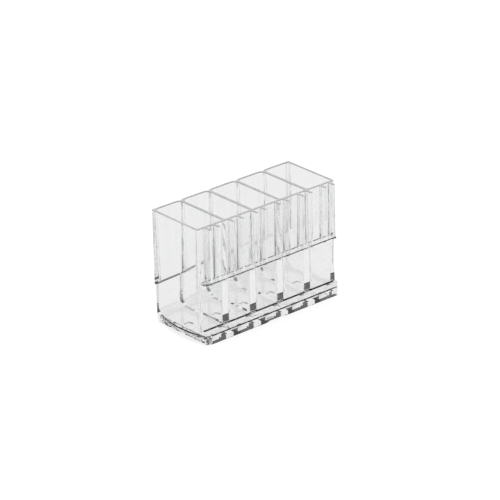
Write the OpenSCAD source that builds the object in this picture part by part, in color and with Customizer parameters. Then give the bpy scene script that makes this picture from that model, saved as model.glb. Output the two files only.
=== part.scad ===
// Row of five open measuring cells, moulded in one piece in clear plastic.
// X runs along the row, -Y is the finned front and Z is up.
// The origin is at the middle of the bottom of the whole block.

/* [Row of cells] */
// Number of cells in the row
cells = 5; // [5:1:8]
// Distance from one cell to the next
cell_pitch = 9; // [9:0.1:12]
// Depth of the row from the front wall to the back, over the walls
row_depth = 17.4; // [14:0.1:24]
// Height from the table to the rim
block_height = 30; // [26:0.5:40]

/* [Walls] */
// Thickness of a wall between two cells at the rim
partition_rim = 0.75; // [0.5:0.05:1]
// Thickness of a wall between two cells below the shoulder
partition_low = 2; // [1.2:0.1:2.4]
// Thickness of the outer walls at the rim
wall_rim = 0.55; // [0.45:0.05:0.8]
// Thickness of the outer walls at the shoulder
wall_low = 1.05; // [0.95:0.05:1.3]
// Height of the shoulder inside the cells, where the walls stop getting thicker
shoulder_z = 11; // [10.5:0.5:14]
// Height of the cell floors above the table
floor_z = 2; // [1.8:0.1:2.4]
// How far the floor ramps up at the back of each cell
ramp_h = 1.3; // [0.8:0.1:1.5]
// How far the ramp reaches forward from the back wall
ramp_deep = 1.9; // [1.2:0.1:2.5]

/* [Rounding] */
// Outer radius of the upright corners at the back of each cell
back_corner_r = 2; // [1.2:0.1:2]
// How deep the grooves between the cells cut into the back
back_groove = 0.6; // [0.2:0.05:0.7]
// Outer radius of the upright corners at the ends of the row
end_corner_r = 0.4; // [0.4:0.1:1.2]
// Inner radius of the upright cell corners at the back
cell_back_r = 1.4; // [0.6:0.1:1.5]
// Inner radius of the upright cell corners at the front
cell_front_r = 0.5; // [0.3:0.1:1]
// Inner radius of the upright cell corners at the back, below the shoulder
cell_low_r = 0.2; // [0.1:0.1:0.8]

/* [Light windows] */
// How far the back steps in below the outer shoulder
window_step = 0.55; // [0.4:0.05:0.55]
// Height of the lower edge of the outer shoulder
step_z = 9.9; // [8:0.1:10]
// Height of its slope
step_h = 0.4; // [0.3:0.05:0.8]
// How far the bottom edge of the back slopes in
back_slope_in = 0.8; // [0.4:0.1:1.4]
// Height of that slope
back_slope_h = 3.3; // [2:0.1:3.5]

/* [Ledge and fins] */
// Height of the top face of the front ledge
ledge_top = 15.6; // [14:0.1:18]
// Thickness of the ledge
ledge_t = 0.5; // [0.4:0.05:1]
// How far the ledge stands out from the front wall
ledge_out = 2.2; // [1.8:0.1:3]
// How far the fins stand out from the front wall
fin_out = 1.95; // [1.4:0.05:2.2]
// Number of pairs of fins
fin_pairs = 6; // [3:1:6]
// Distance from one pair of fins to the next
fin_pair_pitch = 7.55; // [7:0.05:7.7]
// Distance between the two fins of a pair
fin_gap = 2.8; // [2:0.1:3.2]
// Thickness of a fin
fin_t = 0.6; // [0.4:0.05:0.8]
// Radius of the fillets where a fin meets the wall
fin_root_r = 0.5; // [0.2:0.1:0.7]
// How far the set of fins sits to the right of the middle
fin_shift = 0.4; // [0:0.05:0.4]

/* [Foot] */
// How far the foot stands out in front of the front wall
foot_out = 3.2; // [2.4:0.1:4]
// Height of the top face of the foot
foot_top = 2.4; // [2.4:0.1:3]
// Radius of the upper front edges of the foot, the ledge and the nose
edge_r = 0.3; // [0.1:0.05:0.35]
// Radius of the left front corner of the foot
foot_corner_r = 1.5; // [1:0.1:2]
// Width of the flat cut off the right front corner, which tells the two ends apart
key_cut = 2.4; // [1.5:0.1:2.4]
// How far the nose stands out at the left end
nose_out = 1.7; // [0.8:0.1:2]
// Radius of the long curve of the nose
nose_r = 28; // [26:1:36]
// Thickness of the nose
nose_t = 0.9; // [0.6:0.1:1.2]
// How far the middle of the nose sits in front of the middle of the row
nose_shift = 3.1; // [2:0.1:4]

/* [Foot windows and underside] */
// Width of the window in the front of the foot below each cell
foot_window_w = 2.9; // [2:0.1:3]
// How far the middle of a window sits to the left of the middle of its cell
foot_window_left = 2.55; // [1.5:0.05:2.6]
// Depth of a foot window, from front to back
foot_window_deep = 2.2; // [1:0.1:2.4]
// Height of the lower edge of the foot windows
foot_window_bottom = 0.85; // [0.6:0.05:1.2]
// Height of the upper edge of the foot windows
foot_window_top = 2.1; // [1.8:0.05:2.1]
// Width of the pocket cored out from below, right of each foot window
pocket_w = 2.4; // [1:0.1:2.4]
// How far the middle of a pocket sits to the right of the middle of its cell
pocket_right = 2.6; // [2.2:0.1:2.6]
// Depth of the pockets, from front to back
pocket_deep = 4; // [2.5:0.1:5]
// Height of the pockets
pocket_h = 1; // [0.4:0.1:1.2]
// Thickness of the wall in front of the pockets
pocket_skin = 0.5; // [0.4:0.1:0.8]
// Diameter of the hollow cone at the gate under each cell
gate_d = 2.4; // [1:0.1:3]
// Depth of the gate cones
gate_h = 0.35; // [0.2:0.05:0.5]
// How far the gates sit to the left of the middle of the cells and in front of it
gate_shift = 1.1; // [0:0.1:2]
// Width of the finger notch under the front edge
notch_w = 5.6; // [4:0.1:7]
// Height of the finger notch
notch_h = 0.3; // [0.2:0.05:0.4]

/* [Hidden] */
$fn = 48;
eps = 0.01;
row_len = cells * cell_pitch;
row_left = nose_out / 2 - row_len / 2;
row_right = row_left + row_len;
front_y = foot_out - (row_depth + foot_out) / 2;
back_y = front_y + row_depth;
foot_y = front_y - foot_out;
pad_overlap = back_corner_r - sqrt(pow(back_corner_r, 2) - pow(back_corner_r - back_groove, 2));
fin_x = (row_left + row_right) / 2 + fin_shift;
low_back = back_y - window_step;
row_y = (front_y + back_y) / 2;
nose_x = row_left - nose_out + nose_r;
nose_y = row_y - nose_shift;
nose_end_y = foot_y + foot_corner_r;
nose_end_x = nose_x - sqrt(pow(nose_r - foot_corner_r, 2) - pow(nose_y - nose_end_y, 2));
nose_turn = asin((nose_y - nose_end_y) / (nose_r - foot_corner_r));

// Middle of cell i along the row
function cell_x(i) = row_left + (i + 0.5) * cell_pitch;
// Left or right face of cell i, from the thickness of the partition and of the end wall
function cell_left(i, part, outer) = i == 0 ? row_left + outer : cell_x(i) - (cell_pitch - part) / 2;
function cell_right(i, part, outer) = i == cells - 1 ? row_right - outer
                                                    : cell_x(i) + (cell_pitch - part) / 2;

// Upright block with four corner radii: front left, front right, back left, back right
module round_box(x0, x1, y0, y1, z0, z1, r) {
    translate([0, 0, z0]) linear_extrude(z1 - z0) round_rect(x0, x1, y0, y1, r);
}

module round_rect(x0, x1, y0, y1, r) {
    difference() {
        translate([x0, y0]) square([x1 - x0, y1 - y0]);
        corner_cut(x0, y0, 1, 1, r[0]);
        corner_cut(x1, y0, -1, 1, r[1]);
        corner_cut(x0, y1, 1, -1, r[2]);
        corner_cut(x1, y1, -1, -1, r[3]);
    }
}

// What a round corner takes off a square one
module corner_cut(x, y, sx, sy, r) {
    if (r > 0) difference() {
        translate([x - (sx < 0 ? r : eps), y - (sy < 0 ? r : eps)]) square(r + eps);
        translate([x + sx * r, y + sy * r]) circle(r);
    }
}

// Side profile drawn in Y and Z, run along the whole row
module row_prism(profile) {
    translate([row_left - 1, 0, 0]) rotate([90, 0, 90]) linear_extrude(row_len + 2) polygon(profile);
}

// Small fillet along the front wall, above the face at height z
module row_cove(y, z, r) {
    translate([row_left + 1, 0, 0]) rotate([90, 0, 90]) linear_extrude(row_len - 2) difference() {
        translate([y - r, z - eps]) square([r + eps, r + eps]);
        translate([y - r, z + r]) circle(r);
    }
}

// What a rounded upper front edge takes off a plate, from x0 to x1
module edge_cut(x0, x1, y, z) {
    translate([x0, 0, 0]) rotate([90, 0, 90]) linear_extrude(x1 - x0) corner_cut(y, z, 1, -1, edge_r);
}

// The same all round a circle with its middle at x and y
module ring_cut(x, y, reach, z) {
    translate([x, y, 0]) rotate_extrude($fn = reach > 5 ? 240 : 48)
        corner_cut(reach, z, -1, -1, edge_r);
}

// The same around the rounded left front corner of a plate
module bend_cut(x, y, reach, z) {
    intersection() {
        ring_cut(x, y, reach, z);
        translate([x - reach - 1, y - reach - 1, z - 1]) cube([reach + 1, reach + 1, 2]);
    }
}

// Outside of the row: flat front, and a rounded back to each cell above the outer shoulder
module row_body() {
    r = end_corner_r;
    round_box(row_left, row_right, front_y, low_back, foot_top - eps, step_z, [r, r, r, r]);
    difference() {
        union() {
            round_box(row_left, row_right, front_y, back_y - back_groove - 0.1, step_z - eps,
                      block_height, [r, r, r, r]);
            for (i = [0:cells - 1]) {
                first = i == 0;
                last = i == cells - 1;
                round_box(cell_x(i) - cell_pitch / 2 - (first ? 0 : pad_overlap),
                          cell_x(i) + cell_pitch / 2 + (last ? 0 : pad_overlap),
                          back_y - 4, back_y, step_z - eps, block_height,
                          [0, 0, first ? r : back_corner_r, last ? r : back_corner_r]);
            }
        }
        row_prism([[low_back, step_z - 1], [back_y + 1, step_z - 1], [back_y + 1, step_z + step_h],
                   [back_y, step_z + step_h], [low_back, step_z]]);
    }
    row_cove(front_y, foot_top, 0.5);
}

// Hollow of one cell: drafted above the shoulder, straight below it, with a ramp at the back
module cell_hollow(i) {
    wall_y = back_y - wall_low;
    difference() {
        round_box(cell_left(i, partition_low, wall_low), cell_right(i, partition_low, wall_low),
                  front_y + wall_low, wall_y, floor_z, shoulder_z + eps,
                  [cell_front_r, cell_front_r, cell_low_r, cell_low_r]);
        row_prism([[wall_y - ramp_deep, floor_z - eps], [wall_y + eps, floor_z - eps],
                   [wall_y + eps, floor_z + ramp_h]]);
    }
    hull() {
        hollow_slice(i, partition_low, wall_low, shoulder_z);
        hollow_slice(i, partition_rim, wall_rim, block_height);
    }
}

module hollow_slice(i, part, outer, z) {
    round_box(cell_left(i, part, outer), cell_right(i, part, outer), front_y + outer, back_y - outer,
              z, z + eps, [cell_front_r, cell_front_r, cell_back_r, cell_back_r]);
}

// Thin shelf along the front at half height
module ledge() {
    reach = (fin_pairs - 1) / 2 * fin_pair_pitch + fin_gap / 2 + fin_t / 2;
    x0 = fin_x - reach - 1.6;
    x1 = fin_x + reach + 0.1;
    y = front_y - ledge_out;
    r = 1.5;
    difference() {
        round_box(x0, x1, y, front_y + eps, ledge_top - ledge_t, ledge_top, [r, 0, 0, 0]);
        edge_cut(x0 + r, x1 + 1, y, ledge_top);
        bend_cut(x0 + r, y + r, r, ledge_top);
    }
    row_cove(front_y, ledge_top, 0.25);
}

// Upright fins in pairs, from the ledge to the rim
module fins() {
    for (p = [0:fin_pairs - 1], side = [-1, 1]) {
        x = fin_x + (p - (fin_pairs - 1) / 2) * fin_pair_pitch + side * fin_gap / 2;
        translate([x, front_y, ledge_top - ledge_t / 2])
            linear_extrude(block_height - ledge_top + ledge_t / 2) fin_plan();
    }
}

// Fin seen from above, with a fillet on each side of its root
module fin_plan() {
    r = fin_root_r;
    translate([-fin_t / 2, -fin_out]) square([fin_t, fin_out + eps]);
    difference() {
        translate([-fin_t / 2 - r, -r]) square([fin_t + 2 * r, r + eps]);
        for (side = [-1, 1]) translate([side * (fin_t / 2 + r), -r]) circle(r);
    }
}

// Foot under the row and in front of it, with one front corner cut off
module foot() {
    cut = [row_right - key_cut, foot_y];
    difference() {
        linear_extrude(foot_top) difference() {
            round_rect(row_left, row_right, foot_y, low_back,
                       [foot_corner_r, 0, end_corner_r, end_corner_r]);
            polygon([cut, [row_right + 1, foot_y - 1], cut + [key_cut + 1, key_cut + 1]]);
        }
        edge_cut(nose_end_x, row_right, foot_y, foot_top);
    }
}

// Thin nose along the top of the foot at the left end, bowed outward
module nose() {
    turn_y = nose_end_y - foot_corner_r * sin(nose_turn);
    difference() {
        translate([0, 0, foot_top - nose_t]) linear_extrude(nose_t) {
            intersection() {
                translate([nose_x, nose_y]) circle(nose_r, $fn = 240);
                translate([row_left - nose_out, turn_y])
                    square([nose_out + 1, low_back - end_corner_r - turn_y]);
            }
            translate([nose_end_x, nose_end_y]) circle(foot_corner_r);
        }
        ring_cut(nose_x, nose_y, nose_r, foot_top);
        bend_cut(nose_end_x, nose_end_y, foot_corner_r, foot_top);
    }
}

// Slope along the bottom edge of the back
module back_slope() {
    row_prism([[low_back - back_slope_in, -eps], [back_y + 1, -eps], [back_y + 1, back_slope_h],
               [low_back, back_slope_h]]);
}

// Windows in the front of the foot, one to a cell, clear of the round left corner
module foot_windows() {
    for (i = [0:cells - 1]) {
        x0 = cell_x(i) - foot_window_left - foot_window_w / 2;
        x1 = x0 + foot_window_w;
        left = max(x0, row_left + foot_corner_r - 0.3);
        translate([left, foot_y - eps, foot_window_bottom])
            cube([x1 - left, foot_window_deep + eps, foot_window_top - foot_window_bottom]);
    }
}

// Pockets cored out of the foot from below, under the front wall and clear of the cut corner
module foot_pockets() {
    for (i = [0:cells - 1]) {
        x1 = cell_x(i) + pocket_right + pocket_w / 2;
        y0 = foot_y + max(pocket_skin, key_cut + 0.7 - (row_right - x1));
        y1 = foot_y + pocket_skin + pocket_deep;
        translate([x1 - pocket_w, y0, -eps]) cube([pocket_w, y1 - y0, pocket_h + eps]);
    }
}

module gate_cones() {
    for (i = [0:cells - 1])
        translate([cell_x(i) - gate_shift, row_y - gate_shift, -eps])
            cylinder(h = gate_h + eps, d1 = gate_d, d2 = 0.6);
}

module finger_notch() {
    translate([(row_left + row_right) / 2 - notch_w / 2, foot_y - eps, -eps])
        cube([notch_w, 1 + eps, notch_h + eps]);
}

module cuvette_block() {
    color([0.86, 0.9, 0.92, 0.5]) difference() {
        union() {
            row_body();
            ledge();
            fins();
            foot();
            nose();
        }
        for (i = [0:cells - 1]) cell_hollow(i);
        foot_windows();
        foot_pockets();
        back_slope();
        gate_cones();
        finger_notch();
    }
}

cuvette_block();
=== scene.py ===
"""Looks of a clear cuvette block: one moulding with five open cells, fins, ledge, foot and nose."""
import math

import bmesh
import bpy
from mathutils import Matrix, Vector


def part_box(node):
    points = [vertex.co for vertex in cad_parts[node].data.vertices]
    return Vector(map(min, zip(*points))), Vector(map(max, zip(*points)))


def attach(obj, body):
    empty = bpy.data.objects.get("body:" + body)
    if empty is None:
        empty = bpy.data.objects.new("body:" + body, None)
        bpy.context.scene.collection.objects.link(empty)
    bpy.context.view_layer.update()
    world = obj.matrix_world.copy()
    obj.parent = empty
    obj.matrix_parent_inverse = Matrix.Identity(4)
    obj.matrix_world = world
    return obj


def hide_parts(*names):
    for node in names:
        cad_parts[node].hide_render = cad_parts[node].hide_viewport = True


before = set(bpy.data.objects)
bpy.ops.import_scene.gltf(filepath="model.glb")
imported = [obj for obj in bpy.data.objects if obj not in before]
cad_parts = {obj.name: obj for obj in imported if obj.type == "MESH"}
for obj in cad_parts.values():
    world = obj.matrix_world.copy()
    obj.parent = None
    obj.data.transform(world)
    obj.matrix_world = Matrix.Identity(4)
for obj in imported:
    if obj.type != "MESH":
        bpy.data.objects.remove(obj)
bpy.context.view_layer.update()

MM = 0.001
BLOCK_LOW, BLOCK_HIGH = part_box("cuvette_block")
RIM_Z = BLOCK_HIGH[2]
FOOT_OUT = 3.2 * MM
FRONT_Y = BLOCK_LOW[1] + FOOT_OUT
SHOULDER_Z = 11 * MM
FINS_Z = 16 * MM
PLASTIC_IOR = 1.59


class Value:
    """A shader socket; arithmetic on it adds Math nodes."""

    def __init__(self, shader, socket):
        self.shader = shader
        self.socket = socket

    def _math(self, operation, *others):
        return self.shader.node("ShaderNodeMath", {"operation": operation}, *others)

    def __add__(self, other):
        return self._math("ADD", self, other)

    def __radd__(self, other):
        return self._math("ADD", other, self)

    def __sub__(self, other):
        return self._math("SUBTRACT", self, other)

    def __rsub__(self, other):
        return self._math("SUBTRACT", other, self)

    def __mul__(self, other):
        return self._math("MULTIPLY", self, other)

    def __rmul__(self, other):
        return self._math("MULTIPLY", other, self)

    def maximum(self, other):
        return self._math("MAXIMUM", self, other)

    def step(self, start, end):
        """0 below start, 1 above end, smooth between them."""
        return self.shader.node(
            "ShaderNodeMapRange", {"interpolation_type": "SMOOTHSTEP"}, self, start, end, 0.0, 1.0
        )


class Shader:
    """One node tree; node() adds a node with its settings, input values and one output."""

    def __init__(self, tree):
        self.tree = tree
        tree.nodes.clear()

    def node(self, kind, settings=None, *values, out=0, **named):
        n = self.tree.nodes.new(kind)
        for key, setting in (settings or {}).items():
            if key == "stops":
                self._stops(n.color_ramp, setting)
            else:
                setattr(n, key, setting)
        by_id = {socket.identifier: socket for socket in n.inputs}
        for key, value in list(enumerate(values)) + list(named.items()):
            if isinstance(key, int):
                socket = n.inputs[key]
            else:
                socket = by_id.get(key) or n.inputs[key.replace("_", " ")]
            if isinstance(value, Value):
                self.tree.links.new(value.socket, socket)
            else:
                socket.default_value = value
        return Value(self, n.outputs[out]) if n.outputs else None

    def mix(self, share, first, second):
        """Colour between two plain colours."""
        return self.node("ShaderNodeMix", {"data_type": "RGBA"}, share, out=2,
                         A_Color=(*first, 1), B_Color=(*second, 1))

    @staticmethod
    def _stops(ramp, stops):
        while len(ramp.elements) < len(stops):
            ramp.elements.new(0.5)
        for element, (position, grey) in zip(ramp.elements, stops):
            element.position = position
            element.color = (grey, grey, grey, 1)


def material(name):
    made = bpy.data.materials.new(name)
    made.use_nodes = True
    return made, Shader(made.node_tree)


def clear_plastic():
    """Water-white moulding: polished windows and cells, hazy fins, rim tops painted grey as shade.
    """
    made, s = material("clear_plastic")
    place = s.node("ShaderNodeTexCoord", out="Object")
    height = s.node("ShaderNodeSeparateXYZ", {}, place, out="Z")
    depth = s.node("ShaderNodeSeparateXYZ", {}, place, out="Y")
    drafted = height.step(SHOULDER_Z - 1.5 * MM, SHOULDER_Z + 1.5 * MM)
    inside = depth.step(FRONT_Y - 0.1 * MM, FRONT_Y + 0.2 * MM)
    finned = height.step(FINS_Z, FINS_Z + 1 * MM) * (1 - inside)
    rim = height.step(RIM_Z - 0.13 * MM, RIM_Z - 0.11 * MM)
    fine = s.node("ShaderNodeTexNoise", {}, Vector=place, Scale=420.0, Detail=3.0)
    tint = s.mix(fine, (0.985, 0.988, 0.988), (0.995, 0.996, 0.996))
    clear = s.node(
        "ShaderNodeBsdfPrincipled", {}, Base_Color=tint,
        Roughness=0.015 + 0.02 * drafted + 0.05 * finned, IOR=PLASTIC_IOR,
        Transmission_Weight=1.0,
    )
    # Painted shade: the rim tops get a flat grey, opaque finish in place of the grey that
    # refraction through the rounded rim edges shows.
    grey = s.mix(fine, (0.27, 0.27, 0.27), (0.36, 0.36, 0.36))
    painted_shade_rim = s.node(
        "ShaderNodeBsdfPrincipled", {}, Base_Color=grey, Roughness=0.5, IOR=PLASTIC_IOR
    )
    both = s.node("ShaderNodeMixShader", {}, rim, clear, painted_shade_rim)
    s.node("ShaderNodeOutputMaterial", {}, Surface=both)
    return made


def table_top():
    """Plain white table that still takes the block's soft shadow; seen through or mirrored in the
    plastic it is painted a darker grey as shade.
    """
    made, s = material("table_top")
    seen = s.node("ShaderNodeLightPath", out="Is Camera Ray")
    glossy = s.node("ShaderNodeLightPath", out="Is Glossy Ray")
    through = s.node("ShaderNodeLightPath", out="Is Transmission Ray")
    pale = (0.85 * seen).maximum(0.96 * glossy.maximum(through))
    # Painted shade: the table's glow is white to the camera but a darker grey when seen through or
    # mirrored in the plastic, which darkens the walls.
    painted_shade_floor_tone = s.mix(seen, (0.84, 0.84, 0.84), (1, 1, 1))
    matte = s.node("ShaderNodeBsdfDiffuse", {}, Color=(0.93, 0.93, 0.93, 1))
    lit = s.node("ShaderNodeEmission", {}, Color=painted_shade_floor_tone, Strength=1.0)
    both = s.node("ShaderNodeMixShader", {}, pale, matte, lit)
    s.node("ShaderNodeOutputMaterial", {}, Surface=both)
    return made


def shown_block():
    """The moulding, with its sharp edges slightly rounded except the front's upright ones."""
    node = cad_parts["cuvette_block"]
    mesh = node.data.copy()
    mesh.name = "clear_block"
    shape = bmesh.new()
    shape.from_mesh(mesh)
    bmesh.ops.remove_doubles(shape, verts=shape.verts, dist=0.0005 * MM)
    bmesh.ops.dissolve_limit(
        shape, angle_limit=math.radians(0.5), verts=shape.verts, edges=shape.edges
    )
    sharp = math.radians(35)
    softness = shape.edges.layers.float.new("bevel_weight_edge")
    for edge in shape.edges:
        start, end = (v.co for v in edge.verts)
        front_upright = abs(start.z - end.z) > 5 * MM and start.y < FRONT_Y + 0.01 * MM
        if edge.calc_face_angle(0.0) > sharp and not front_upright:
            edge[softness] = 1.0
    shape.to_mesh(mesh)
    shape.free()
    block = bpy.data.objects.new("clear_block", mesh)
    bpy.context.collection.objects.link(block)
    mesh.materials.clear()
    mesh.materials.append(clear_plastic())
    mesh.shade_flat()
    rounding = block.modifiers.new("edge_rounding", "BEVEL")
    rounding.width = 0.1 * MM
    rounding.segments = 2
    rounding.limit_method = "WEIGHT"
    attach(block, "root")
    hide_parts("cuvette_block")


def table():
    """Wide flat floor, a hair below the foot."""
    half_width = 8
    gap = 0.02 * MM
    shape = bmesh.new()
    bmesh.ops.create_grid(shape, x_segments=1, y_segments=1, size=half_width)
    bmesh.ops.translate(shape, verts=shape.verts, vec=(0, 0, -gap))
    mesh = bpy.data.meshes.new("table")
    shape.to_mesh(mesh)
    shape.free()
    mesh.materials.append(table_top())
    floor = bpy.data.objects.new("table", mesh)
    bpy.context.collection.objects.link(floor)


def surroundings():
    """A studio: a bright wall low down behind the block, dim in front and overhead."""
    world = bpy.data.worlds.new("studio")
    world.use_nodes = True
    bpy.context.scene.world = world
    s = Shader(world.node_tree)
    place = s.node("ShaderNodeTexCoord", out="Generated")
    up = s.node("ShaderNodeSeparateXYZ", {}, place, out="Z")
    glow = s.node(
        "ShaderNodeValToRGB", {"stops": [(0.0, 0.9), (0.46, 0.86), (0.55, 0.02), (1.0, 0.02)]}, up
    )
    back = s.node("ShaderNodeSeparateXYZ", {}, place, out="Y").step(-0.6, 0.1)
    air = s.node("ShaderNodeBackground", {}, Color=glow, Strength=0.4 + 0.6 * back)
    s.node("ShaderNodeOutputWorld", {}, Surface=air)


def softbox(name, place, size, watts):
    """A lamp that lights the block without being mirrored in it."""
    lamp = bpy.data.lights.new(name, "AREA")
    lamp.shape = "SQUARE"
    lamp.size = size
    lamp.energy = watts
    holder = bpy.data.objects.new(name, lamp)
    holder.location = place
    holder.visible_glossy = False
    holder.visible_transmission = False
    holder.rotation_euler = (-Vector(place)).to_track_quat("-Z", "Y").to_euler()
    bpy.context.collection.objects.link(holder)


def camera():
    """Long lens looking down on the left front corner, turned a little about its own axis."""
    azimuth, elevation, roll = (math.radians(a) for a in (-40.44, 24.28, -1.29))
    distance, focal_length, film_width = 806.17, 230.32, 36
    row_middle = Vector((0.85, 1.35, 0))
    away = Vector((
        math.sin(azimuth) * math.cos(elevation),
        -math.cos(azimuth) * math.cos(elevation),
        math.sin(elevation),
    ))
    level = Vector((math.cos(azimuth), math.sin(azimuth), 0))
    lift = away.cross(level)
    right = math.cos(roll) * level + math.sin(roll) * lift
    up = math.cos(roll) * lift - math.sin(roll) * level
    aim = row_middle + 0.81 * right + 13.69 * up
    lens = bpy.data.cameras.new("camera")
    lens.lens = focal_length
    lens.sensor_width = film_width
    lens.clip_start = 0.05
    eye = bpy.data.objects.new("camera", lens)
    turn = Matrix((right, up, away)).transposed().to_4x4()
    eye.matrix_world = Matrix.Translation((aim + distance * away) * MM) @ turn
    bpy.context.collection.objects.link(eye)
    bpy.context.scene.camera = eye


shown_block()
table()
surroundings()
softbox("overhead", (0.0, 0.1, 0.9), 0.5, 14)
camera()

bounces = 24
scene = bpy.context.scene
scene.view_settings.view_transform = "Standard"
scene.cycles.max_bounces = bounces
scene.cycles.transmission_bounces = bounces
scene.cycles.glossy_bounces = bounces
scene.cycles.use_denoising = True
